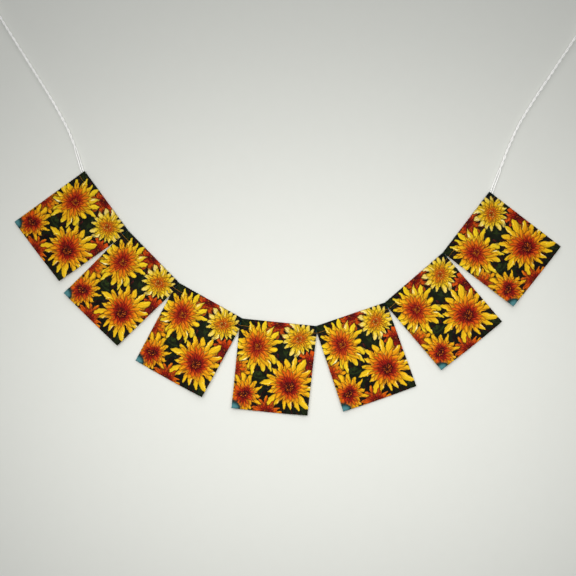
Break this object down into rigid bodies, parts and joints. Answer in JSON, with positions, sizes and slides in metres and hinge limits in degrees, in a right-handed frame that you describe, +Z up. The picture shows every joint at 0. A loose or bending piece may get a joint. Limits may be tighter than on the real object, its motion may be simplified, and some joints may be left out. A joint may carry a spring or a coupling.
{
  "type": "fabric bunting",
  "caption": "Row of oblong printed cloth flags that hangs in a curve from a twisted cord, threaded through their hems, with a knotted loop at each end.",
  "frame": {"origin": "point inside the far end of the left loop where a nail or hook bears", "axes": "+X to the right along the row, +Z up, -Y out of the printed faces, so the wall is at +Y"},
  "size_m": [1.071, 0.0124, 0.7473],
  "materials": {
    "printed_cloth": "matt printed cotton",
    "cord": "white twisted cotton"
  },
  "bodies": {
    "root": {"flag_1": "printed_cloth", "flag_2": "printed_cloth", "flag_3": "printed_cloth", "flag_4": "printed_cloth", "flag_5": "printed_cloth", "flag_6": "printed_cloth", "flag_7": "printed_cloth", "cord": "cord", "left_loop": "cord", "right_loop": "cord", "left_knot": "cord", "right_knot": "cord"}
  },
  "joints": []
}
